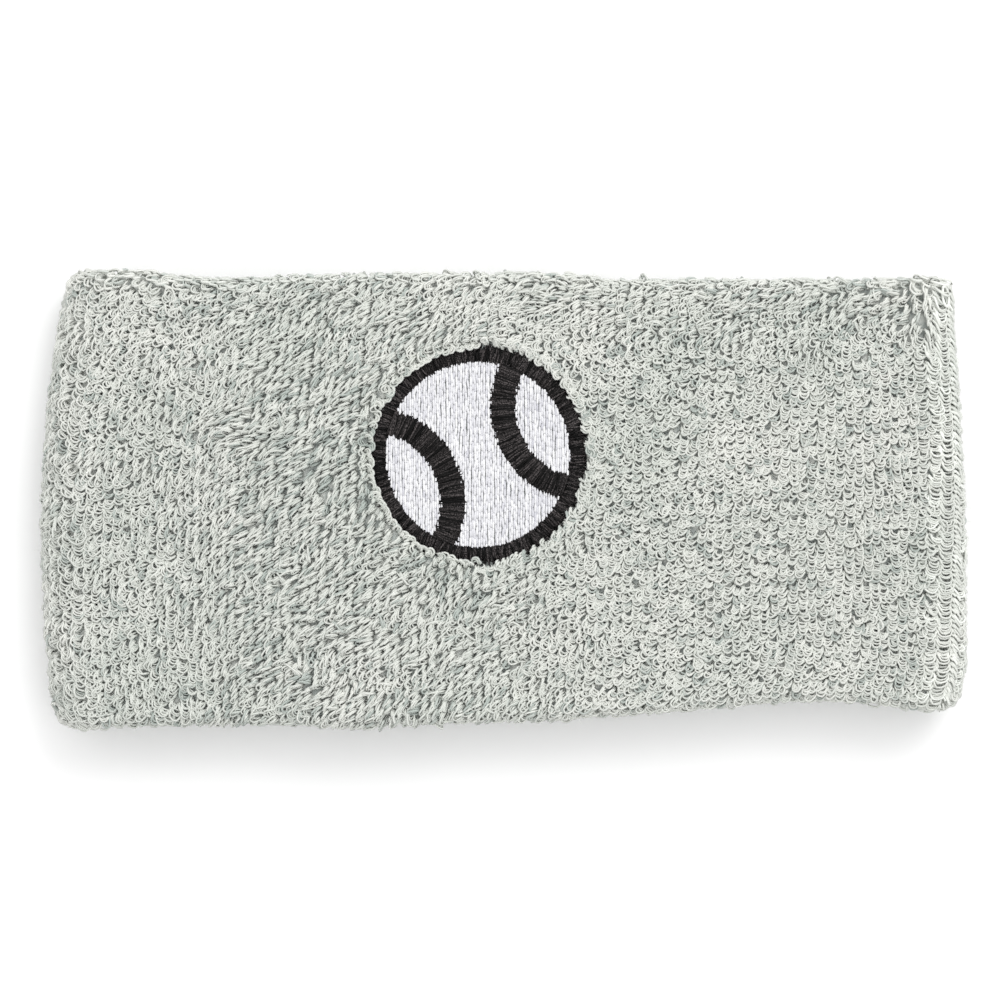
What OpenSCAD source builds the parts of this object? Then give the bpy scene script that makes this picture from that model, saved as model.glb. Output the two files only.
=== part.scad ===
// Wide terry-towelling sports headband, lying flat on its back panel.
// A double-ply terry strip is closed into a ring, and a round embroidered
// badge sits on the front panel. X runs along the flattened ring, Y from the
// lower hem to the upper hem, and Z up. The origin is at the middle of the
// underside.

/* [Band] */
// Length of the flattened ring, over both folds
band_length = 184; // [150:1:210]
// Width of the band, from hem to hem
band_width = 90; // [60:1:110]
// Height of the band as it lies, both panels and the slit between them
band_height = 18; // [17:0.5:24]

/* [Terry] */
// Thickness of one terry ply, ground and pile together
ply_thickness = 2.7; // [2.2:0.1:3]
// Gap between the two plies, which holds the elastic and the badge's backing
ply_gap = 0.8; // [0.6:0.1:1]
// Thickness of a ply's knitted ground, without its pile
ground_thickness = 0.8; // [0.7:0.1:1]

/* [Elastic] */
// Diameter of one elastic yarn
elastic_diameter = 0.34; // [0.2:0.02:0.36]
// Spacing of the elastic yarns across the band
elastic_pitch = 4; // [3:0.5:8]

/* [Seams] */
// Place of the closing seam on the right fold, in degrees above the table
seam_angle = 52; // [30:1:70]
// Radius of the groove that the closing seam pulls into the pile
seam_groove_radius = 0.9; // [0.6:0.1:1.2]
// Diameter of the sewing thread
thread_diameter = 0.5; // [0.3:0.05:0.6]
// Length of one stitch of the closing seam
stitch_length = 2.6; // [2:0.1:3]
// Distance from one stitch of the closing seam to the next
stitch_pitch = 3.6; // [3.4:0.1:5]

/* [Badge] */
// Centre of the badge along the band
badge_x = -5; // [-30:1:30]
// Centre of the badge across the band
badge_y = 9; // [-15:1:15]
// Outer radius of the satin-stitch border
badge_radius = 21.2; // [16:0.2:22]
// Width of the satin-stitch border
border_width = 2.9; // [2:0.1:4]
// Height of the border at its crown
border_height = 1.4; // [1:0.1:1.6]
// Height of the stitched fill
fill_height = 0.9; // [0.6:0.1:1.1]
// Width of the two curved ball seams
motif_width = 5.2; // [3:0.1:6]
// Height of the ball seams above the fill
motif_height = 0.5; // [0.3:0.1:0.7]
// Radius of the ball seams' centre lines
motif_radius = 16.5; // [14:0.5:20]
// Distance from the badge's centre to a ball seam's centre of curvature
motif_offset = 23.5; // [21:0.5:26]
// Turn of the ball seams on the badge, in degrees
motif_turn = 24; // [0:1:45]

/* [Hidden] */
$fn = 96;

// The strip is both plies and the gap. Radii are from a fold's axis.
strip_thickness = 2 * ply_thickness + ply_gap;
fold_radius = band_height / 2;
straight_length = band_length - 2 * fold_radius;
strip_radius = fold_radius - strip_thickness / 2;
slit_radius = fold_radius - strip_thickness;

// The badge lies in a dish that the stitching presses into the pile.
dish_clearance = 0.1;
dish_floor = band_height - ply_thickness + ground_thickness;
ply_back = band_height - ply_thickness;
fill_radius = badge_radius - border_width;
pocket_depth = 0.4;
backing_thickness = 0.2;
backing_radius = badge_radius + 2;
bobbin_thickness = 0.15;
bobbin_width = border_width / 3;

// The join on the skin side runs round the ring at mid width.
join_groove_radius = 0.6;
join_thread_radius = 0.35;

cotton = [0.74, 0.77, 0.73];
cotton_shade = [0.66, 0.69, 0.65];
elastane = [0.90, 0.90, 0.88];
black_thread = [0.09, 0.08, 0.08];
white_thread = [0.94, 0.94, 0.95];

// Sweeps a profile round the flattened ring. The profile's x is the distance
// from a fold's axis, and its y is the place across the band.
module round_the_ring() {
    translate([0, 0, fold_radius]) {
        for (up = [0, 1])
            mirror([0, 0, up])
                rotate([0, -90, 0])
                    linear_extrude(straight_length, center = true) children();
        for (left = [0, 1])
            mirror([left, 0, 0])
                translate([straight_length / 2, 0, 0])
                    rotate([90, 0, 0])
                        rotate([0, 0, -90])
                            rotate_extrude(angle = 180) children();
    }
}

// A flat oval, the section of the strip or of the gap inside it.
module oval(thickness, width) {
    straight = width - thickness;
    square([thickness, straight], center = true);
    for (y = [-0.5, 0.5])
        translate([0, y * straight]) circle(d = thickness);
}

// The section of one ply: half of the hollow strip, side 1 for the outer one.
module ply_section(side) {
    translate([strip_radius, 0])
        intersection() {
            difference() {
                oval(strip_thickness, band_width);
                oval(ply_gap, band_width - 2 * ply_thickness);
            }
            translate([side * strip_thickness / 2, 0])
                square([strip_thickness, band_width + 2], center = true);
        }
}

// Places children on the badge's axis, at the height z.
module at_badge(z) {
    translate([badge_x, badge_y, z]) children();
}

// Places children on the closing seam's line, at mid width.
module at_closing_seam(depth) {
    translate([straight_length / 2, 0, fold_radius])
        rotate([0, -seam_angle, 0])
            translate([fold_radius - depth, 0, 0])
                rotate([90, 0, 0]) children();
}

module outer_ply() {
    color(cotton)
        difference() {
            round_the_ring() ply_section(1);
            at_badge(dish_floor)
                cylinder(r = badge_radius + dish_clearance, h = ply_thickness);
            at_badge(ply_back - 1)
                cylinder(r = backing_radius, h = 1 + pocket_depth);
            at_closing_seam(0)
                cylinder(r = seam_groove_radius, h = band_width + 2, center = true);
        }
}

module inner_ply() {
    color(cotton_shade)
        difference() {
            round_the_ring() ply_section(-1);
            round_the_ring()
                translate([slit_radius, 0]) circle(r = join_groove_radius);
        }
}

// Elastic yarns laid against the back of one ply, side 1 for the outer one.
module elastic_yarns(side) {
    reach = band_width / 2 - ply_thickness - elastic_pitch / 2;
    count = floor(reach / elastic_pitch);
    color(elastane)
        for (i = [-count:count])
            round_the_ring()
                translate([strip_radius + side * ply_gap / 4, i * elastic_pitch])
                    circle(d = elastic_diameter, $fn = 16);
}

module closing_seam_thread() {
    count = floor((band_width - strip_thickness) / stitch_pitch);
    straight = stitch_length - thread_diameter;
    color(cotton)
        for (i = [0:count - 1])
            at_closing_seam(seam_groove_radius / 2)
                translate([0, 0, (i - (count - 1) / 2) * stitch_pitch]) {
                    cylinder(d = thread_diameter, h = straight, center = true, $fn = 24);
                    for (end = [-0.5, 0.5])
                        translate([0, 0, end * straight])
                            sphere(d = thread_diameter, $fn = 24);
                }
}

module inner_join_thread() {
    color(cotton_shade)
        round_the_ring()
            translate([slit_radius + join_thread_radius / 2, 0])
                circle(r = join_thread_radius, $fn = 32);
}

module badge_fill() {
    color(white_thread)
        at_badge(dish_floor) cylinder(r = fill_radius, h = fill_height);
}

// The border's section: a low wall with a rounded crown.
module badge_border() {
    wall = border_height / 2;
    color(black_thread)
        at_badge(dish_floor)
            rotate_extrude()
                translate([fill_radius, 0]) {
                    square([border_width, wall]);
                    translate([border_width / 2, wall])
                        intersection() {
                            translate([0, -crown_drop()])
                                circle(r = crown_drop() + border_height - wall);
                            translate([-border_width / 2, 0])
                                square([border_width, border_height]);
                        }
                }
}

// How far under the wall's top the crown's arc is centred, so that the arc
// spans the border's width exactly.
function crown_drop() =
    let (rise = border_height / 2, half = border_width / 2)
    (half * half - rise * rise) / (2 * rise);

// One curved ball seam, cut to the fill's outline. side is 1 or -1.
module ball_seam(side) {
    color(black_thread)
        at_badge(dish_floor + fill_height)
            rotate([0, 0, motif_turn])
                intersection() {
                    cylinder(r = fill_radius - 0.3, h = motif_height);
                    translate([side * motif_offset, 0, 0])
                        difference() {
                            cylinder(r = motif_radius + motif_width / 2, h = motif_height);
                            translate([0, 0, -1])
                                cylinder(r = motif_radius - motif_width / 2,
                                         h = motif_height + 2);
                        }
                }
}

module badge_backing() {
    color(elastane)
        at_badge(ply_back + pocket_depth - backing_thickness)
            cylinder(r = backing_radius - dish_clearance, h = backing_thickness);
}

// Bobbin thread under the border, on the back of the backing.
module badge_bobbin_thread() {
    middle = badge_radius - border_width / 2;
    color(white_thread)
        at_badge(ply_back + pocket_depth - backing_thickness - bobbin_thickness)
            difference() {
                cylinder(r = middle + bobbin_width / 2, h = bobbin_thickness);
                translate([0, 0, -1])
                    cylinder(r = middle - bobbin_width / 2, h = bobbin_thickness + 2);
            }
}

outer_ply();
inner_ply();
elastic_yarns(1);  // outer_elastic_yarns
elastic_yarns(-1);  // inner_elastic_yarns
closing_seam_thread();
inner_join_thread();
badge_fill();
badge_border();
ball_seam(-1);  // badge_ball_seam_left
ball_seam(1);  // badge_ball_seam_right
badge_backing();
badge_bobbin_thread();
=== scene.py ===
"""Looks of the terry sports headband: pile loops on a knitted ground, and an embroidered badge.

Lengths are in millimetres until a mesh is made. The band is described by two arc lengths: s runs round the
flattened ring on the strip's middle line, and t runs round the strip's own flat oval section.
"""

import math

import bpy
import numpy as np
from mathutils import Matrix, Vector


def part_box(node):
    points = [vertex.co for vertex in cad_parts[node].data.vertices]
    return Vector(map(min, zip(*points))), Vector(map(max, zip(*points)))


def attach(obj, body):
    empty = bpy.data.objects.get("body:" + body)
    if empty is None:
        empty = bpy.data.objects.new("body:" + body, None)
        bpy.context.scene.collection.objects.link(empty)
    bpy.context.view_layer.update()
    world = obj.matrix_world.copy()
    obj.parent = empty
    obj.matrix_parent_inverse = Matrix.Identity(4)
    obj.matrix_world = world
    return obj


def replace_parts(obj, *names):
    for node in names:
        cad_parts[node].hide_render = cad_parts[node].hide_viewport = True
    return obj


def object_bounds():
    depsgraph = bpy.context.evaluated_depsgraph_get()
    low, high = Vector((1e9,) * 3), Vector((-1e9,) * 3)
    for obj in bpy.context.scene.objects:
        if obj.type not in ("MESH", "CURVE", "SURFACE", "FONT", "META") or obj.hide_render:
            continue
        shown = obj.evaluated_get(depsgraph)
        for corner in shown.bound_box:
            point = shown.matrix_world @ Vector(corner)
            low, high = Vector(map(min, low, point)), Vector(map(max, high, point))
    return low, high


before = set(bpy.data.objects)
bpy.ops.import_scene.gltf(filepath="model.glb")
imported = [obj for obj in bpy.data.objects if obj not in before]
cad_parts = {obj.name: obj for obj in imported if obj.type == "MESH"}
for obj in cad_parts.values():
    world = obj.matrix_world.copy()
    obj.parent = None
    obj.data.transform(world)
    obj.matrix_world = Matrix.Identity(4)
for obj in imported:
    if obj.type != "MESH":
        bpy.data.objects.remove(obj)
CAD_LOW, CAD_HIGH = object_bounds()
MM = 0.001
rng = np.random.default_rng(20)


def box_mm(node):
    """A CAD node's lowest and highest corners, in millimetres."""
    return [np.array(corner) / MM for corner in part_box(node)]


# ---------------------------------------------------------------- the band's sizes, from the frame

LENGTH, WIDTH, HEIGHT = (np.array(CAD_HIGH) - np.array(CAD_LOW)) / MM
FOLD_RADIUS = HEIGHT / 2
INNER_LOW, INNER_HIGH = box_mm("inner_ply")
STRIP_RADIUS = (INNER_HIGH[2] - INNER_LOW[2]) / 2
STRIP_HALF = FOLD_RADIUS - STRIP_RADIUS
STRAIGHT = LENGTH - 2 * FOLD_RADIUS
FLAT_WIDTH = WIDTH - 2 * STRIP_HALF
HALF_FOLD = math.pi * STRIP_RADIUS
RING = 2 * (STRAIGHT + HALF_FOLD)

BORDER_LOW, BORDER_HIGH = box_mm("badge_border")
FILL_LOW, FILL_HIGH = box_mm("badge_fill")
BADGE = (BORDER_LOW + BORDER_HIGH)[:2] / 2
BADGE_RADIUS = (BORDER_HIGH[0] - BORDER_LOW[0]) / 2
FILL_RADIUS = (FILL_HIGH[0] - FILL_LOW[0]) / 2
DISH_FLOOR = BORDER_LOW[2]

# The knitted ground's outer face is level with the badge's underside.
GROUND = DISH_FLOOR - FOLD_RADIUS - STRIP_RADIUS
GROUND_THICKNESS = 0.75
PILE = STRIP_HALF - GROUND

# The closing seam's groove on the right fold, as an angle above the table and as an arc length.
SEAM_LOW, SEAM_HIGH = box_mm("closing_seam_thread")
SEAM_MIDDLE = (SEAM_LOW + SEAM_HIGH) / 2
SEAM_ANGLE = math.atan2(SEAM_MIDDLE[2] - FOLD_RADIUS, SEAM_MIDDLE[0] - STRAIGHT / 2)
SEAM_S = STRAIGHT + STRIP_RADIUS * (math.pi / 2 - SEAM_ANGLE)

# Knit: a wale is a column of loops about 1.8 mm wide, and a course is a row of them.
WALES = round(RING / 1.8)
WALE = RING / WALES
COURSE = 1.03
STRAND_RADIUS = 0.265


# ---------------------------------------------------------------- smooth fields


def waves(x, y, size, seed):
    """A smooth random field of unit strength whose waves are about size long."""
    draw = np.random.default_rng(seed)
    total = 0
    for _ in range(6):
        heading = draw.uniform(0, math.pi)
        number = 2 * math.pi / (size * draw.uniform(0.7, 1.5))
        phase = draw.uniform(0, 2 * math.pi)
        total = total + np.cos(number * (x * math.cos(heading) + y * math.sin(heading)) + phase)
    return total / math.sqrt(3)


def bump(x, centre, width):
    """A round bump of height 1."""
    return np.exp(-(((x - centre) / width) ** 2))


def step(x, start, end):
    """A smooth step from 0 to 1."""
    share = np.clip((x - start) / (end - start), 0, 1)
    return share * share * (3 - 2 * share)


# ---------------------------------------------------------------- the band's outline and surface


def left_edge(y):
    """How far along the band its left fold lies, at a place across it."""
    return -92.4 + 0.002 * (y + 7) ** 2


def right_edge(y):
    """How far along the band its right fold lies, at a place across it."""
    return 93.1 - 0.0007 * (y + 25) ** 2 - 1.2 * step(-y, 36, 44)


def upper_edge(x):
    """How far across the band its upper hem lies, at a place along it."""
    corners = 0.8 * bump(x, -91, 5) + 0.6 * bump(x, 92, 5)
    wave = 0.8 * bump(x, -80, 9) - 0.8 * bump(x, -56, 13) + 0.2 * bump(x, -14, 16)
    return 45.0 - 1.2 * step(x, 10, 24) + wave + corners + 0.8 * bump(x, 84, 3)


def lower_edge(x):
    """How far across the band its lower hem lies, at a place along it."""
    wave = 0.6 * bump(x, 0, 14) - 0.7 * bump(x, -32, 7) - 0.9 * bump(x, -86, 6) + 0.9 * bump(x, 20, 12)
    return -44.7 + 4.7 * step(x, 6, 60) - 1.6 * step(x, 70, 84) + wave


def settle(points):
    """The band as it lies: its hems and folds wander a little, and the upper panel rises and sags."""
    x, y, z = points[..., 0], points[..., 1], points[..., 2]
    along = (x + LENGTH / 2) / LENGTH
    over = (y + WIDTH / 2) / WIDTH
    new_x = left_edge(y) + (right_edge(y) - left_edge(y)) * along
    new_y = lower_edge(x) + (upper_edge(x) - lower_edge(x)) * over
    # The badge keeps its place, because its backing is stiff.
    badge_distance = np.hypot(x - BADGE[0], y - BADGE[1])
    free = step(badge_distance, BADGE_RADIUS - 1, BADGE_RADIUS + 16)
    new_x = x + (new_x - x) * free
    new_y = y + (new_y - y) * free
    lifted = step(z, HEIGHT * 0.35, HEIGHT * 0.7)
    sag = -0.35 + 0.4 * waves(x, y, 60, 3)
    # The table presses the lowest strands flat.
    new_z = np.maximum(z + lifted * free * sag, STRAND_RADIUS)
    return np.stack([new_x, new_y, new_z], axis=-1)


class Spots:
    """Places on the strip: points, and unit vectors round the ring, round the section and outwards."""

    def __init__(self, s, t, half):
        """s and t are arc lengths, and half is the section's half thickness at these places."""
        s = np.mod(s, RING)
        turned = np.select(
            [s < STRAIGHT, s < STRAIGHT + HALF_FOLD, s < 2 * STRAIGHT + HALF_FOLD],
            [0 * s, s - STRAIGHT, 0 * s + HALF_FOLD],
            s - 2 * STRAIGHT,
        )
        angle = math.pi / 2 - turned / STRIP_RADIUS
        centre = np.select(
            [s < STRAIGHT, s < STRAIGHT + HALF_FOLD, s < 2 * STRAIGHT + HALF_FOLD],
            [s - STRAIGHT / 2, 0 * s + STRAIGHT / 2, 1.5 * STRAIGHT + HALF_FOLD - s],
            0 * s - STRAIGHT / 2,
        )
        hem = math.pi * half
        t = np.mod(t + FLAT_WIDTH / 2, 2 * (FLAT_WIDTH + hem))
        bent = np.select(
            [t < FLAT_WIDTH, t < FLAT_WIDTH + hem, t < 2 * FLAT_WIDTH + hem],
            [0 * t, t - FLAT_WIDTH, 0 * t + hem],
            t - 2 * FLAT_WIDTH,
        )
        lean = math.pi / 2 - bent / half
        middle = np.select(
            [t < FLAT_WIDTH, t < FLAT_WIDTH + hem, t < 2 * FLAT_WIDTH + hem],
            [t - FLAT_WIDTH / 2, 0 * t + FLAT_WIDTH / 2, 1.5 * FLAT_WIDTH + hem - t],
            0 * t - FLAT_WIDTH / 2,
        )
        out = np.stack([np.cos(angle), 0 * angle, np.sin(angle)], axis=-1)
        width_way = np.array([0.0, 1.0, 0.0])
        nothing = 0 * out
        self.normal = out * np.sin(lean)[..., None] + width_way * np.cos(lean)[..., None]
        self.section = width_way * np.sin(lean)[..., None] - out * np.cos(lean)[..., None]
        self.round = np.stack([np.sin(angle), 0 * angle, -np.cos(angle)], axis=-1) + nothing
        axis = np.stack([centre, middle, 0 * centre + FOLD_RADIUS], axis=-1)
        self.radius = STRIP_RADIUS + half * np.sin(lean)
        self.point = axis + out * self.radius[..., None] + width_way * (half * np.cos(lean))[..., None]
        on_fold = (turned > 0) & (turned != HALF_FOLD)
        mid_pile = self.radius + PILE / 2 * np.sin(lean)
        self.stretch = np.where(on_fold, mid_pile / STRIP_RADIUS, 1)


# ---------------------------------------------------------------- meshes


def link(name, mesh, material):
    """Makes an object of the mesh that rides on the band, with the given material."""
    piece = bpy.data.objects.new(name, mesh)
    bpy.context.scene.collection.objects.link(piece)
    mesh.materials.append(material)
    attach(piece, "root")
    return piece


def fill_mesh(name, points, corners, starts, uv, shade):
    """A smooth mesh from flat arrays. points are in millimetres, and shade is one number a point."""
    mesh = bpy.data.meshes.new(name)
    totals = np.diff(np.append(starts, len(corners)))
    mesh.vertices.add(len(points))
    mesh.vertices.foreach_set("co", (points * MM).astype(np.float32).ravel())
    mesh.loops.add(len(corners))
    mesh.loops.foreach_set("vertex_index", corners.astype(np.int32))
    mesh.polygons.add(len(starts))
    mesh.polygons.foreach_set("loop_start", starts.astype(np.int32))
    mesh.polygons.foreach_set("loop_total", totals.astype(np.int32))
    mesh.polygons.foreach_set("use_smooth", np.ones(len(starts), bool))
    mesh.uv_layers.new(name="OFBake").uv.foreach_set("vector", uv.astype(np.float32).ravel())
    mesh.attributes.new("shade", "FLOAT", "POINT").data.foreach_set("value", shade.astype(np.float32))
    mesh.update(calc_edges=True)
    return mesh


def tubes(name, lines, radius, up, shade, sides=3, squash=1.0):
    """A mesh of closed tubes along lines, an array of tubes by rings by 3.

    up is roughly away from the cloth. squash below 1 flattens a tube that way.
    """
    count, rings, _ = lines.shape
    along = np.gradient(lines, axis=1)
    along /= np.linalg.norm(along, axis=2, keepdims=True) + 1e-9
    up = np.broadcast_to(up if np.ndim(up) == 3 else np.reshape(up, (-1, 1, 3)), lines.shape)
    side = np.cross(along, up)
    side /= np.linalg.norm(side, axis=2, keepdims=True) + 1e-9
    over = np.cross(side, along) * squash
    turn = math.pi / 2 + 2 * math.pi * np.arange(sides) / sides
    ring = np.cos(turn)[:, None] * side[:, :, None] + np.sin(turn)[:, None] * over[:, :, None]
    radius = np.broadcast_to(np.reshape(radius, (-1, 1)) if np.ndim(radius) < 2 else radius, (count, rings))
    points = lines[:, :, None] + ring * radius[:, :, None, None]

    # Walls are quads that run over ring and side, and each end is one polygon.
    k, j = (a.ravel() for a in np.meshgrid(np.arange(rings - 1), np.arange(sides), indexing="ij"))
    wall_ring = np.stack([k, k + 1, k + 1, k], axis=1)
    wall_side = np.stack([j, j, j + 1, j + 1], axis=1)
    end_side = np.arange(sides)
    ring_at = np.concatenate([wall_ring.ravel(), 0 * end_side, 0 * end_side + rings - 1])
    side_at = np.concatenate([wall_side.ravel(), end_side, end_side[::-1]])
    one = ring_at * sides + side_at % sides
    starts = np.append(np.arange(len(k)) * 4, [len(k) * 4, len(k) * 4 + sides])
    corners = (np.arange(count)[:, None] * rings * sides + one).ravel()
    starts = (np.arange(count)[:, None] * len(one) + starts).ravel()

    # Each tube has its own cell in the map that a bake writes to.
    cells = math.ceil(math.sqrt(count))
    cell = np.arange(count)
    u = (cell % cells)[:, None] + 0.1 + 0.8 * ring_at / (rings - 1)
    v = (cell // cells)[:, None] + 0.1 + 0.8 * side_at / sides
    uv = np.stack([u.ravel(), v.ravel()], axis=1) / cells
    shade = np.repeat(np.broadcast_to(shade, count), rings * sides)
    return fill_mesh(name, points.reshape(-1, 3), corners, starts, uv, shade)


# ---------------------------------------------------------------- materials


def material(name, roughness, sheen=0.0, specular=0.5):
    """A Principled material and its node tree."""
    made = bpy.data.materials.new(name)
    made.use_nodes = True
    shader = made.node_tree.nodes["Principled BSDF"]
    shader.inputs["Roughness"].default_value = roughness
    shader.inputs["Sheen Weight"].default_value = sheen
    shader.inputs["Sheen Roughness"].default_value = 0.5
    shader.inputs["Specular IOR Level"].default_value = specular
    return made, made.node_tree, shader


def add(tree, kind, **values):
    """A node whose inputs are set by name, with _ for a space."""
    node = tree.nodes.new(kind)
    for key, value in values.items():
        node.inputs[key.replace("_", " ")].default_value = value
    return node


def grain(tree, scale, detail=3.0):
    """A noise in the row's own space. scale is in waves a metre."""
    place = tree.nodes.new("ShaderNodeTexCoord")
    noise = add(tree, "ShaderNodeTexNoise", Scale=scale, Detail=detail)
    tree.links.new(place.outputs["Object"], noise.inputs["Vector"])
    return noise


def ramp(tree, source, stops):
    """A colour ramp with (place, colour) stops."""
    node = tree.nodes.new("ShaderNodeValToRGB")
    elements = node.color_ramp.elements
    while len(elements) < len(stops):
        elements.new(0.5)
    for element, (place, colour) in zip(elements, stops):
        element.position = place
        element.color = (*colour, 1)
    tree.links.new(source, node.inputs["Fac"])
    return node.outputs["Color"]


def multiply(tree, colour_a, colour_b, share=1.0):
    """One colour times another."""
    node = tree.nodes.new("ShaderNodeMix")
    node.data_type = "RGBA"
    node.blend_type = "MULTIPLY"
    node.inputs["Factor"].default_value = share
    tree.links.new(colour_a, node.inputs["A"])
    tree.links.new(colour_b, node.inputs["B"])
    return node.outputs["Result"]


def by_shade(tree, stops):
    """A colour from the mesh's own shade, which is one number a strand."""
    shade = tree.nodes.new("ShaderNodeAttribute")
    shade.attribute_name = "shade"
    return ramp(tree, shade.outputs["Fac"], stops)


def add_bump(tree, shader, height, distance, strength=1.0):
    """Fine relief on a shader's surface. distance is in metres."""
    node = add(tree, "ShaderNodeBump", Strength=strength, Distance=distance)
    tree.links.new(height, node.inputs["Height"])
    tree.links.new(node.outputs["Normal"], shader.inputs["Normal"])


def pile_material(name, tone):
    """Cotton loops: pale strands among a few grey-green ones, with a soft mottle over the band."""
    made, tree, shader = material(name, 0.85, sheen=0.12, specular=0.25)
    dark = tuple(tone * c for c in (0.50, 0.54, 0.51))
    middle = tuple(tone * c for c in (0.70, 0.715, 0.675))
    pale = tuple(tone * c for c in (0.80, 0.805, 0.765))
    # The palest tone is the painted highlight of the closing seam's wales; the pulled loop and the fuzz take
    # it too.
    palest = tuple(tone * c for c in (0.93, 0.94, 0.90))
    strands = by_shade(tree, [(0.0, dark), (0.22, middle), (0.78, pale), (1.0, palest)])
    mottle = ramp(tree, grain(tree, 45).outputs["Fac"], [(0.3, (0.9, 0.92, 0.91)), (0.7, (1, 1, 1))])
    tree.links.new(multiply(tree, strands, mottle), shader.inputs["Base Color"])
    return made


def ground_material():
    """The knitted ground under the pile: shaded grey-green streaks that wander along its wales."""
    made, tree, shader = material("knitted_ground", 0.95, sheen=0.1, specular=0.2)
    place = tree.nodes.new("ShaderNodeTexCoord")
    strands = add(tree, "ShaderNodeTexWave", Scale=60.0, Distortion=9.0, Detail=2.0)
    strands.inputs["Detail Scale"].default_value = 2.5
    tree.links.new(place.outputs["Object"], strands.inputs["Vector"])
    colour = ramp(tree, strands.outputs["Fac"], [(0.15, (0.50, 0.54, 0.52)), (0.8, (0.84, 0.86, 0.82))])
    tree.links.new(colour, shader.inputs["Base Color"])
    add_bump(tree, shader, strands.outputs["Fac"], 0.0003)
    return made


def thread_material(name, dark, pale, roughness, specular, speckle):
    """Trilobal embroidery thread: a soft shine, with a fine twist and specks along it. On the black thread
    the pale tone and the bright specks are painted glints.
    """
    made, tree, shader = material(name, roughness, specular=specular)
    colour = by_shade(tree, [(0.0, dark), (1.0, pale)])
    # Noise specks: painted glints on the black thread, and a soft fibre grain on the white one.
    fibres = ramp(tree, grain(tree, 4200, 2.0).outputs["Fac"], [(0.42, (speckle,) * 3), (0.62, (1, 1, 1))])
    tree.links.new(multiply(tree, colour, fibres), shader.inputs["Base Color"])
    add_bump(tree, shader, grain(tree, 7000, 1.0).outputs["Fac"], 0.00008, 0.9)
    return made


def plain_cloth(name, dark, pale, scale):
    """Non-woven or covered yarn, with a fine fibre grain."""
    made, tree, shader = material(name, 0.9, sheen=0.2, specular=0.2)
    fibre = grain(tree, scale)
    tree.links.new(ramp(tree, fibre.outputs["Fac"], [(0.3, dark), (0.7, pale)]), shader.inputs["Base Color"])
    add_bump(tree, shader, fibre.outputs["Fac"], 0.0001)
    return made


PILE_COTTON = pile_material("pile_cotton", 1.0)
INNER_COTTON = pile_material("inner_pile_cotton", 0.94)
GROUND_KNIT = ground_material()
WHITE_THREAD = thread_material("white_thread", (0.61, 0.61, 0.66), (0.90, 0.90, 0.91), 0.5, 0.4, 0.9)
# The black thread's pale tone is a painted glint.
BLACK_THREAD = thread_material("black_thread", (0.001, 0.001, 0.001), (0.13, 0.115, 0.115), 0.5, 0.14, 0.05)
ELASTIC = plain_cloth("elastic_yarn", (0.60, 0.61, 0.59), (0.85, 0.85, 0.83), 3000)
SEWING = plain_cloth("sewing_thread", (0.45, 0.48, 0.45), (0.70, 0.73, 0.69), 4000)
NONWOVEN = plain_cloth("nonwoven_backing", (0.70, 0.70, 0.68), (0.90, 0.90, 0.88), 1500)


# ---------------------------------------------------------------- the knitted ground


def ground_sheet(name, side, node):
    """One ply's ground as a closed sheet of its real thickness. side is 1 for the outer ply."""
    rows_s = 250
    rows_t = 74
    faces = []
    for half in (GROUND, GROUND - GROUND_THICKNESS):
        reach = FLAT_WIDTH / 2 + math.pi * half / 2
        start = 0 if side > 0 else FLAT_WIDTH + math.pi * half
        t = start + np.linspace(-reach, reach, rows_t)
        s = np.arange(rows_s) * RING / rows_s
        s, t = np.meshgrid(s, t, indexing="ij")
        faces.append(settle(Spots(s, t, half).point))
    points = np.concatenate([f.reshape(-1, 3) for f in faces])
    i, j = np.meshgrid(np.arange(rows_s), np.arange(rows_t - 1), indexing="ij")
    i, j = i.ravel(), j.ravel()
    n = (i + 1) % rows_s
    quads = np.stack([i * rows_t + j, n * rows_t + j, n * rows_t + j + 1, i * rows_t + j + 1], axis=1)
    back = quads[:, ::-1] + rows_s * rows_t
    ring = np.arange(rows_s)
    after = (ring + 1) % rows_s
    first = np.stack([ring * rows_t, ring * rows_t + rows_s * rows_t,
                      after * rows_t + rows_s * rows_t, after * rows_t], axis=1)
    last = (first + rows_t - 1)[:, ::-1]
    corners = np.concatenate([quads, back, first, last]).ravel()
    starts = np.arange(len(corners) // 4) * 4
    at = corners % (rows_s * rows_t)
    uv = np.stack([(at // rows_t) / rows_s, (at % rows_t) / rows_t], axis=1)
    mesh = fill_mesh(name, points, corners, starts, uv, np.ones(len(points)))
    piece = link(name, mesh, GROUND_KNIT)
    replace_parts(piece, node)
    return piece


ground_sheet("outer_ground", 1, "outer_ply")
ground_sheet("inner_ground", -1, "inner_ply")


# ---------------------------------------------------------------- the pile

# Where the rings of a strand fall along it: close together at its tip.
TURN = np.array([0.0, 0.15, 0.29, 0.4, 0.5, 0.6, 0.71, 0.85, 1.0])
MID_PILE = GROUND + PILE / 2
LOOP_WIDTH = 2.35
LOOP_REACH = 2.0
# A loop's strands: each one's width, reach and rise as shares of the loop's, and how far it lies aside.
THREE_PLY = [(1.0, 1.0, 0.88, 0.06), (0.9, 0.74, 0.76, -0.14), (1.2, 0.55, 0.62, 0.36)]
ONE_PLY = [(0.95, 0.95, 0.86, 0.0)]
# How deep the loops' feet sink into the ground, and how far from the badge's edge they start.
FOOT_DEPTH = 0.15
BADGE_GAP = 0.6
# The closing seam's loops lean this way on its two sides, in radians, and the right-hand ones are turned.
SEAM_LEANS = (-0.5, -0.05)
SEAM_TWIST = 1.1
# The pile is split into pieces that are small enough to export.
OUTER_PARTS = 16
INNER_PARTS = 5


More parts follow.
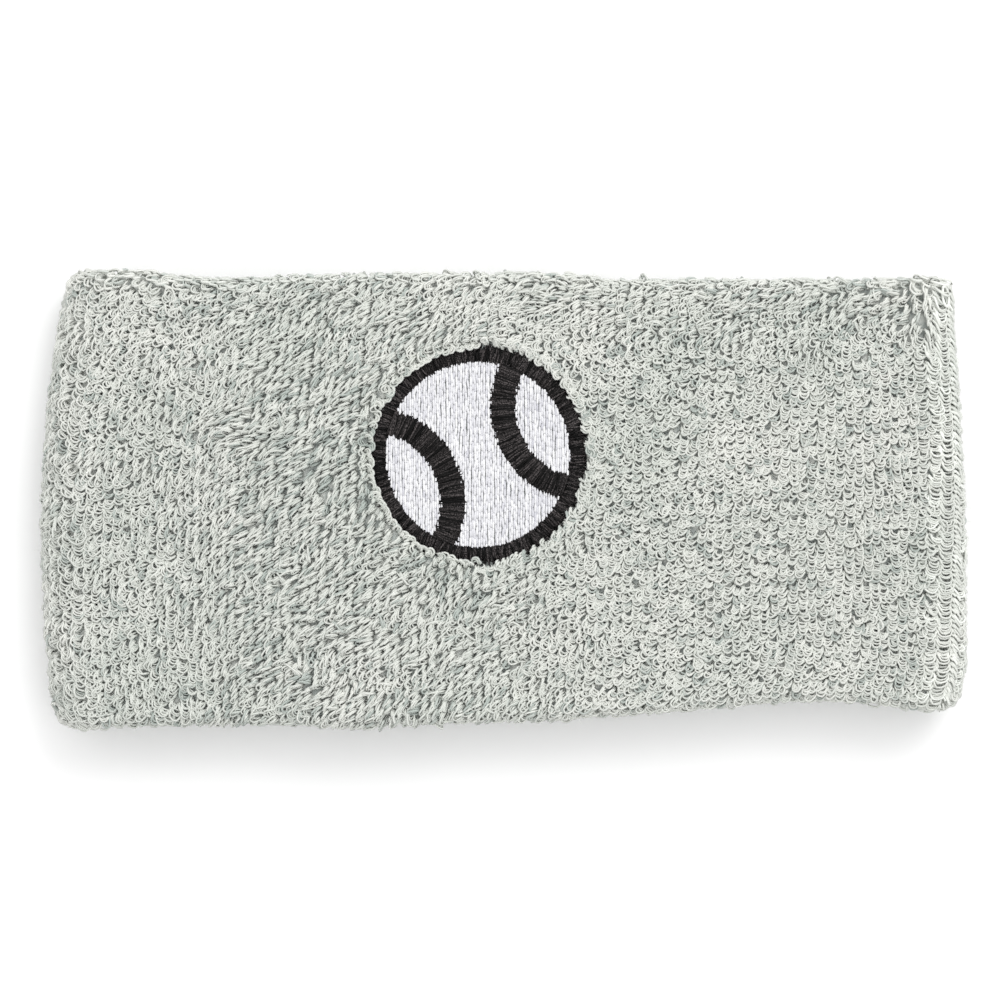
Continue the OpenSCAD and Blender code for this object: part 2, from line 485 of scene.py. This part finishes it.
def lean_angle(x, y):
    """Which way the loops are brushed: 0 is straight down the band, and more is further to the left.

    The left half is brushed to the lower left, and the right end nearly straight down. The upper hem's loops
    lie nearly level.
    """
    brushed = 50 - 12 * step(x, -5, 30) - 32 * step(x, 40, 72) + 6 * brushed_flat(x, y)
    brushed = brushed - 18 * step(-x, 50, 64) + 24 * step(-x, 82, 90)
    before_seam = step(-x, -87, -80)
    on_hem = 30 * step(-x, 40, 62) + (42 * step(x, -22, 20) + 32 * step(x, 36, 72)) * before_seam
    on_hem = on_hem * upper_hem(y)
    wander = 8 * waves(x, y, 22, 5) + 7 * waves(x, y, 7, 6)
    return np.radians(brushed + on_hem + wander)


def brushed_flat(x, y):
    """How far the loops are laid over to one side: 1 in the middle of the left half, and 0 elsewhere."""
    return bump(x, -36, 32) * bump(y, -2, 46)


def upper_hem(y):
    """1 on the upper hem, and 0 on the rest of the panel."""
    return step(y, 24, 40)


def openness(x, y):
    """How far a loop turns its broad side to the view, from 0 for edge-on to 1."""
    laid = 0.55 * step(-x, -34, 8) - 0.3 * step(-x, 50, 64)
    laid = laid + 0.3 * brushed_flat(x, y) + 0.4 * step(-x, 84, 90)
    laid = np.maximum(laid, 0.62 * upper_hem(y) * step(x, -40, 10))
    laid = laid * (1 - step(y, 38, 42) * step(-x, 45, 60))
    return np.clip(1 - laid + 0.12 * waves(x, y, 12, 8), 0.05, 1)


def hem_nearness(y):
    """1 on the hems, where the pile fans out and tangles, and 0 on the panels."""
    return step(np.abs(y), FLAT_WIDTH / 2 - 2.5, FLAT_WIDTH / 2 + 0.5)


def strand_lines(spots, lean, wide, reach, rise, seat, twist, bend, aside):
    """The centre lines of the loops' strands, from foot to foot.

    seat lifts the feet off the ground, and aside parts the strands of an edge-on loop.
    """
    height = np.sin(np.pi * TURN)
    spread = -np.sign(np.cos(np.pi * TURN)) * np.abs(np.cos(np.pi * TURN)) ** 0.62
    spread = spread * (0.72 + 0.28 * height) / 2
    ahead = 0.3 * height + 0.7 * height**2
    above = 1 - (1 - height) ** 2.1
    forward = -spots.section * np.cos(lean)[:, None] - spots.round * np.sin(lean)[:, None]
    across = np.cross(forward, spots.normal)
    plane = across * np.cos(twist)[:, None] + spots.normal * (0.55 * np.sin(twist))[:, None]
    lines = (spots.point + (seat - FOOT_DEPTH)[:, None] * spots.normal)[:, None]
    lines = lines + plane[:, None] * (wide[:, None] * spread)[..., None]
    sideways = bend[:, None] * height**2 + (aside * np.abs(np.sin(twist)))[:, None]
    lines = lines + across[:, None] * sideways[..., None]
    lines = lines + forward[:, None] * (reach[:, None] * ahead)[..., None]
    return lines + spots.normal[:, None] * ((rise - seat)[:, None] * above)[..., None]


def seam_skew(y):
    """How far the closing seam has slipped round the right fold, which lets it run straight in the view."""
    return 0.3 + 0.03 * y


def pile_places(side, wales):
    """Where the loops of some wales grow on one ply, with a little scatter."""
    # The rows are evenly spaced half way up the pile, so they crowd together on the ground of a hem.
    reach = FLAT_WIDTH / 2 + math.pi * MID_PILE / 2
    rows = round(2 * reach / COURSE)
    start = 0 if side > 0 else FLAT_WIDTH + math.pi * GROUND
    wale, row = (a.ravel() for a in np.meshgrid(wales, np.arange(rows), indexing="ij"))
    s = SEAM_S + (wale + 0.5) * WALE
    t = (row + 0.25 + 0.5 * (wale % 2)) * 2 * reach / rows - reach
    past = np.clip(np.abs(t) - FLAT_WIDTH / 2, 0, None)
    s = s + seam_skew(t) * (side > 0)
    t = start + np.sign(t) * (np.abs(t) - past * (1 - GROUND / MID_PILE))
    near_seam = np.minimum(wale, WALES - 1 - wale)
    scatter = np.where((near_seam < 1) & (side > 0), 0.05, 0.2)
    s = s + rng.normal(0, 1, len(s)) * scatter
    t = t + rng.normal(0, 1, len(s)) * scatter
    return s, t, near_seam


def from_badge(spots, side):
    """How far places are from the badge's edge, and whether they are on its panel."""
    x, y, z = spots.point.T
    return np.hypot(x - BADGE[0], y - BADGE[1]) - BADGE_RADIUS, (side > 0) & (z > HEIGHT / 2)


def clear_of_badge(spots, side):
    """Whether places are free of the badge and its gap."""
    away, on_top = from_badge(spots, side)
    return ~on_top | (away > BADGE_GAP)


def around_badge(spots, side, lean):
    """Turns the badge's neighbours away from it. Gives their new leans, and how upright they stand."""
    away, on_top = from_badge(spots, side)
    outwards = spots.point[:, :2] - BADGE
    outwards /= np.linalg.norm(outwards, axis=1, keepdims=True)
    down = np.stack([-np.sin(lean), -np.cos(lean)], axis=1)
    inwards = np.clip(-(down * outwards).sum(1), 0, 1)
    near = np.exp(-np.clip(away - BADGE_GAP, 0, None) / 1.6) * on_top
    turned = down + outwards * (1.5 * inwards * near)[:, None]
    return np.where(on_top, np.arctan2(-turned[:, 0], -turned[:, 1]), lean), near


def loops(name, spots, lean, twist, size, short, painted_light, strands, look):
    """Loops as one piece. short scales their reach, and painted_light adds painted highlight or painted
    shade to their tone.
    """
    count = len(lean)
    shade = rng.normal(0.47, 0.19, count) - 0.32 * (rng.random(count) < 0.08)
    lines = []
    tones = []
    for width, reach, rise, aside in strands:
        wide = LOOP_WIDTH * width * spots.stretch * size * rng.normal(1, 0.08, count)
        ahead = LOOP_REACH * reach * short * size * rng.normal(1, 0.1, count)
        high = np.minimum(PILE * rise * rng.normal(1, 0.08, count) + 0.15, PILE + 0.1)
        bend = rng.normal(0, 0.1, count)
        # The hems' loops lie flat on one another.
        seat = 0.7 * high * hem_nearness(spots.point[:, 1])
        lines.append(strand_lines(spots, lean, wide, ahead, high, seat, twist, bend, aside))
        # Painted highlight and painted shade are added after the clip, so only a painted highlight reaches
        # the palest tone.
        tones.append(np.clip(shade + rng.normal(0, 0.1, count), 0, 0.78) + painted_light)
    normal = np.tile(spots.normal, (len(strands), 1))
    mesh = tubes(name, settle(np.concatenate(lines)), STRAND_RADIUS, normal, np.concatenate(tones))
    return link(name, mesh, look)


def pile(name, side, wales, look, strands):
    """The loops of some wales, as one piece."""
    s, t, near_seam = pile_places(side, wales)
    keep = clear_of_badge(Spots(s, t, GROUND), side)
    s, t, near_seam = s[keep], t[keep], near_seam[keep]
    spots = Spots(s, t, GROUND)
    x, y = spots.point[:, 0], spots.point[:, 1]
    count = len(x)
    seam = (near_seam < 1) & (side > 0)
    hem = hem_nearness(y)
    lean = lean_angle(x, y) + rng.normal(0, 1, count) * (0.19 + 0.12 * hem)
    lean = np.where(seam, np.where(wales[0] == 0, *SEAM_LEANS) + rng.normal(0, 0.05, count), lean)
    lean, upright = around_badge(spots, side, lean)
    opened = openness(x, y)
    # An open loop stands with its right-hand side up.
    closed = (1 - opened) * math.radians(84) - 0.5 * opened**3
    twist = np.where(seam, SEAM_TWIST * (wales[0] == 0), closed + rng.normal(0, 0.22, count))
    wild = (rng.random(count) < 0.04) & ~seam
    lean = lean + np.where(wild, rng.normal(0, 1.1, count), 0)
    size = rng.normal(1, 0.1, count) * np.where(wild, 1.25, 1) * np.where(seam, 1.22, 1)
    # A loop that closes up reaches further, as its yarn is as long as an open one's.
    short = (1.5 - 0.5 * opened) * (1 - 0.1 * hem) * (1 - 0.5 * upright)
    # Painted highlight on the wales beside the closing seam, where the fold faces the light, and painted
    # shade on the left half's laid-over loops.
    painted_light = (0.22 * (near_seam < 2) - 0.14 * brushed_flat(x, y)) * (side > 0)
    return loops(name, spots, lean, twist, size, short, painted_light, strands, look)


def badge_rim(count=150):
    """Loops that crowd round the badge, lean over its edge here and there, and hide the ground."""
    angle = (np.arange(count) + rng.uniform(-0.3, 0.3, count)) * 2 * math.pi / count
    away = BADGE_RADIUS + rng.uniform(0.7, 1.2, count)
    x = BADGE[0] + away * np.cos(angle)
    y = BADGE[1] + away * np.sin(angle)
    spots = Spots(x + STRAIGHT / 2, y, GROUND)
    # These loops lie along the rim, and each turns in or out a little.
    along_rim = angle - math.pi / 2 + math.pi * (np.cos(angle) > 0)
    lean = -along_rim + rng.normal(0, 0.5, count)
    size = rng.normal(0.95, 0.1, count)
    short = rng.uniform(0.5, 0.8, count)
    twist = rng.normal(0, 0.5, count)
    return loops("rim_pile", spots, lean, twist, size, short, 0, THREE_PLY, PILE_COTTON)


def pulled_loop():
    """A loop pulled out of the pile where the closing seam ends at the upper hem."""
    turn = np.linspace(0, 2 * math.pi, 24)
    s = STRAIGHT + 5.0 + 0.7 * np.cos(turn)
    t = FLAT_WIDTH / 2 - 0.9 + 2.0 * np.sin(turn)
    spots = Spots(s, t, STRIP_HALF)
    line = spots.point + 0.45 * spots.normal
    mesh = tubes("pulled_loop", settle(line)[None], 0.27, spots.normal[None], np.array([1.0]), sides=6)
    link("pulled_loop", mesh, PILE_COTTON)


def fuzz(count=4500):
    """Fine fibres that stand out of the pile all over the band."""
    s = rng.uniform(0, RING, count)
    t = rng.uniform(0, 2 * (FLAT_WIDTH + math.pi * STRIP_HALF), count)
    spots = Spots(s, t, STRIP_HALF)
    on_top = spots.point[:, 2] > HEIGHT / 2
    away = np.hypot(*(spots.point[:, :2] - BADGE).T)
    clear = ~on_top | (away > BADGE_RADIUS + 2)
    spots = Spots(s[clear], t[clear], STRIP_HALF)
    count = len(spots.point)
    flow = rng.normal(0, 1, (count, 3))
    curl = rng.normal(0, 0.4, (count, 3))
    long = rng.uniform(0.7, 1.7, count)[:, None, None]
    along = np.linspace(0, 1, 4)[:, None]
    lift = 0.75 * spots.normal + 0.45 * flow
    lines = spots.point[:, None] - 0.4 * spots.normal[:, None]
    lines = lines + long * (lift[:, None] * along + curl[:, None] * along**2)
    mesh = tubes("fuzz", settle(lines), 0.028, spots.normal[:, None], np.ones(count))
    link("fuzz", mesh, PILE_COTTON)


for part, wales in enumerate(np.array_split(np.arange(WALES), OUTER_PARTS)):
    pile(f"outer_pile_{part + 1:02d}", 1, wales, PILE_COTTON, THREE_PLY)
for part, wales in enumerate(np.array_split(np.arange(WALES), INNER_PARTS)):
    pile(f"inner_pile_{part + 1:02d}", -1, wales, INNER_COTTON, ONE_PLY)
badge_rim()
pulled_loop()
fuzz()


# ---------------------------------------------------------------- embroidery

THREAD = 0.2


def stitches(name, starts, ends, arch, foot, shade, material_used, node, thickness=THREAD):
    """Straight stitches that rise from their ends.

    starts and ends are plan points. foot is the height of the ends, and arch is how far a stitch rises
    above them.
    """
    turn = np.linspace(0, 1, 7)
    plan = starts[:, None] + (ends - starts)[:, None] * turn[:, None]
    hump = 1 - np.abs(2 * turn - 1) ** 2.6
    height = np.reshape(foot, (-1, 1)) + np.reshape(arch, (-1, 1)) * hump
    lines = np.concatenate([plan, np.broadcast_to(height, plan.shape[:2])[..., None]], axis=-1)
    mesh = tubes(name, lines, thickness, np.array([[0.0, 0.0, 1.0]]), shade, sides=5, squash=0.8)
    piece = link(name, mesh, material_used)
    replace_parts(piece, node)
    return piece


def badge_fill():
    """White fill: upright stitches in close rows, staggered like bricks."""
    row_pitch = 0.46
    stitch = 1.7
    overlap = 0.08
    starts = []
    ends = []
    sunk = []
    across = np.arange(-FILL_RADIUS, FILL_RADIUS, row_pitch) + row_pitch / 2
    for number, x in enumerate(across):
        half = math.sqrt(max(FILL_RADIUS**2 - x * x, 0)) + 0.3
        offset = (number * 0.5 % 1 + rng.uniform(-0.2, 0.2)) * stitch
        cuts = np.arange(-half - offset, half, stitch)
        cuts = np.unique(np.clip(np.append(cuts, half), -half, half))
        cuts[1:-1] += rng.normal(0, 0.2, max(len(cuts) - 2, 0))
        wobble = rng.normal(0, 0.08, len(cuts))
        for low, high, a, b in zip(cuts[:-1], cuts[1:], wobble[:-1], wobble[1:]):
            if high - low > 0.3:
                starts.append((BADGE[0] + x + a, BADGE[1] + low - overlap))
                ends.append((BADGE[0] + x + b, BADGE[1] + high + overlap))
                sunk.append(number % 2)
    starts = np.array(starts)
    ends = np.array(ends)
    count = len(starts)
    # Every other row is pulled in under its neighbours, and its stitches are coloured darker as painted
    # shade.
    sunk = np.array(sunk)
    top = FILL_HIGH[2] - THREAD
    shade = np.clip(rng.normal(0.75, 0.2, count) - 0.2 * sunk, 0, 1)
    arch = rng.uniform(0.3, 0.42, count)
    return stitches("badge_fill_thread", starts, ends, arch, top - 0.34 - 0.07 * sunk, shade,
                    WHITE_THREAD, "badge_fill", 0.25)


def badge_border():
    """Black border: two layers of short stitches across the ring, with ragged ends."""
    middle = (FILL_RADIUS + BADGE_RADIUS) / 2
    count = int(2 * math.pi * middle / 0.29) * 2
    angle = np.arange(count) * 4 * math.pi / count + rng.normal(0, 0.004, count)
    slant = np.where(np.arange(count) % 2, 0.012, -0.012) + rng.normal(0, 0.006, count)
    inner = FILL_RADIUS - 0.15 + rng.normal(0, 0.16, count)
    turned = np.mod(angle - math.radians(50) + math.pi, 2 * math.pi) - math.pi
    outer = BADGE_RADIUS + 0.35 + 0.4 * bump(turned, 0, 0.5) + rng.normal(0, 0.32, count)
    starts = BADGE + inner[:, None] * np.stack([np.cos(angle - slant), np.sin(angle - slant)], axis=1)
    ends = BADGE + outer[:, None] * np.stack([np.cos(angle + slant), np.sin(angle + slant)], axis=1)
    crown = BORDER_HIGH[2] - THREAD
    arch = rng.uniform(0.45, 0.75, count) - 0.15 * (np.arange(count) < count / 2)
    # A few stitches are much paler: painted glints on the black thread.
    shade = rng.uniform(0, 1, count) ** 2
    return stitches("badge_border_thread", starts, ends, arch, crown - 0.75, shade,
                    BLACK_THREAD, "badge_border", 0.17)


def ball_seam(side, node):
    """One curved seam of the ball, in satin stitches that cross it."""
    _, high = box_mm(node)
    turn = math.radians(24)
    offset = 23.5
    radius = 16.5
    wide = 5.2
    heart = BADGE + side * offset * np.array([math.cos(turn), math.sin(turn)])
    # The arc ends where it meets the border.
    edge = FILL_RADIUS - 0.1
    reach = math.acos((offset**2 + radius**2 - edge**2) / (2 * offset * radius)) + 0.06
    count = int(2 * reach * radius / 0.28) * 2
    centre = turn + (math.pi if side > 0 else 0)
    angle = centre + np.linspace(-reach, reach, count) + rng.normal(0, 0.003, count)
    slant = np.where(np.arange(count) % 2, 0.01, -0.01)
    inner = radius - wide / 2 + rng.normal(0, 0.1, count)
    outer = radius + wide / 2 + rng.normal(0, 0.1, count)
    starts = heart + inner[:, None] * np.stack([np.cos(angle - slant), np.sin(angle - slant)], axis=1)
    ends = heart + outer[:, None] * np.stack([np.cos(angle + slant), np.sin(angle + slant)], axis=1)
    starts, ends = (within_fill(points) for points in (starts, ends))
    long_enough = np.linalg.norm(ends - starts, axis=1) > 0.6
    starts, ends = starts[long_enough], ends[long_enough]
    count = len(starts)
    # A few stitches are much paler: painted glints on the black thread.
    shade = rng.uniform(0, 1, count) ** 2
    arch = rng.uniform(0.42, 0.68, count)
    return stitches(node + "_thread", starts, ends, arch, high[2] - THREAD - 0.6, shade,
                    BLACK_THREAD, node, 0.17)


def within_fill(points):
    """Draws plan points in to the fill's edge."""
    from_centre = points - BADGE
    far = np.linalg.norm(from_centre, axis=1, keepdims=True)
    return BADGE + from_centre * np.minimum(1, (FILL_RADIUS + 0.2) / far)


badge_fill()
badge_border()
ball_seam(-1, "badge_ball_seam_left")
ball_seam(1, "badge_ball_seam_right")


# ---------------------------------------------------------------- yarns and seams


def elastic_yarns(side, node):
    """Elastic laid round the ring behind one ply."""
    low, high = box_mm(node)
    pitch = 4
    count = int((high[1] - low[1]) / pitch / 2)
    y = np.arange(-count, count + 1) * pitch
    s = np.linspace(0, RING, 170)
    s, y = np.meshgrid(s, y.astype(float))
    spots = Spots(s, 0 * s, 0.2)
    points = spots.point.copy()
    points[..., 1] = y
    if side < 0:
        points = points - 0.4 * spots.normal
    mesh = tubes(node + "_laid", settle(points), 0.15, spots.normal, np.full(len(points), 0.5), sides=5)
    piece = link(node + "_laid", mesh, ELASTIC)
    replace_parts(piece, node)


def closing_seam():
    """The stitches that close the ring, in the groove on the right fold."""
    pitch = 2.4
    count = int(FLAT_WIDTH / pitch)
    t = (np.arange(count) - (count - 1) / 2)[:, None] * pitch + np.linspace(-0.55, 0.55, 7) * pitch
    s = SEAM_S + seam_skew(t) + np.linspace(-0.12, 0.12, 7)
    spots = Spots(s, t, GROUND)
    dip = 0.9 * (1 - np.abs(np.linspace(-1, 1, 7)) ** 3)
    points = spots.point + spots.normal * (dip - 0.2)[:, None]
    mesh = tubes("closing_seam_stitches", settle(points), 0.2, spots.normal, np.full(count, 0.5), sides=5)
    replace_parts(link("closing_seam_stitches", mesh, SEWING), "closing_seam_thread")


def inner_join():
    """The flat zigzag join of the turned-in edges, at mid width on the skin side."""
    s = np.linspace(0, RING, 1200)
    back = FLAT_WIDTH + math.pi * GROUND
    spots = Spots(s, back + 0.32 * np.sin(s * 2 * math.pi / 2.2), GROUND)
    points = spots.point + spots.normal * (PILE * 0.75 + 0.2 * np.cos(s * 4 * math.pi / 2.2))[:, None]
    line = settle(points)[None]
    mesh = tubes("inner_join_stitches", line, 0.17, spots.normal[None], np.array([0.5]), sides=5)
    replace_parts(link("inner_join_stitches", mesh, SEWING), "inner_join_thread")


elastic_yarns(1, "outer_elastic_yarns")
elastic_yarns(-1, "inner_elastic_yarns")
closing_seam()
inner_join()
for node, cloth in (("badge_backing", NONWOVEN), ("badge_bobbin_thread", WHITE_THREAD)):
    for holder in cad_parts[node].material_slots:
        holder.material = cloth


# ---------------------------------------------------------------- floor, lights and camera


def floor():
    """A pale square floor, four metres wide."""
    half = 2.0
    corners = [(-half, -half, 0), (half, -half, 0), (half, half, 0), (-half, half, 0)]
    mesh = bpy.data.meshes.new("floor")
    mesh.from_pydata(corners, [], [(0, 1, 2, 3)])
    paper, _, shader = material("pale_floor", 0.9, specular=0.1)
    shader.inputs["Base Color"].default_value = (0.93, 0.93, 0.93, 1)
    mesh.materials.append(paper)
    piece = bpy.data.objects.new("floor", mesh)
    bpy.context.scene.collection.objects.link(piece)


def softbox(name, place, size, power):
    """A square area light that looks at the band."""
    light = bpy.data.lights.new(name, "AREA")
    light.size = size
    light.energy = power
    lamp = bpy.data.objects.new(name, light)
    lamp.location = place
    lamp.rotation_euler = (-lamp.location).to_track_quat("-Z", "Y").to_euler()
    bpy.context.scene.collection.objects.link(lamp)


def surroundings():
    """Even white light from all round, and two soft lamps above the band, towards its upper hem."""
    world = bpy.data.worlds.new("studio")
    bpy.context.scene.world = world
    world.use_nodes = True
    world.node_tree.nodes["Background"].inputs["Color"].default_value = (1, 1, 1, 1)
    world.node_tree.nodes["Background"].inputs["Strength"].default_value = 0.93
    softbox("key", (0.4, 0.7, 0.9), 0.6, 4.6)
    softbox("overhead", (0.1, 0.25, 1.2), 1.2, 3.6)
    bpy.context.scene.view_settings.view_transform = "Standard"


def camera():
    """Straight above the band, with a long lens."""
    view_width = 198 * MM
    lens = bpy.data.cameras.new("camera")
    lens.lens = 100
    distance = view_width * lens.lens / lens.sensor_width
    eye = bpy.data.objects.new("camera", lens)
    # The view is centred a little to the left of the band's middle.
    eye.location = (-0.6 * MM, 0, float(CAD_HIGH[2]) + distance)
    bpy.context.scene.collection.objects.link(eye)
    bpy.context.scene.camera = eye


floor()
surroundings()
camera()
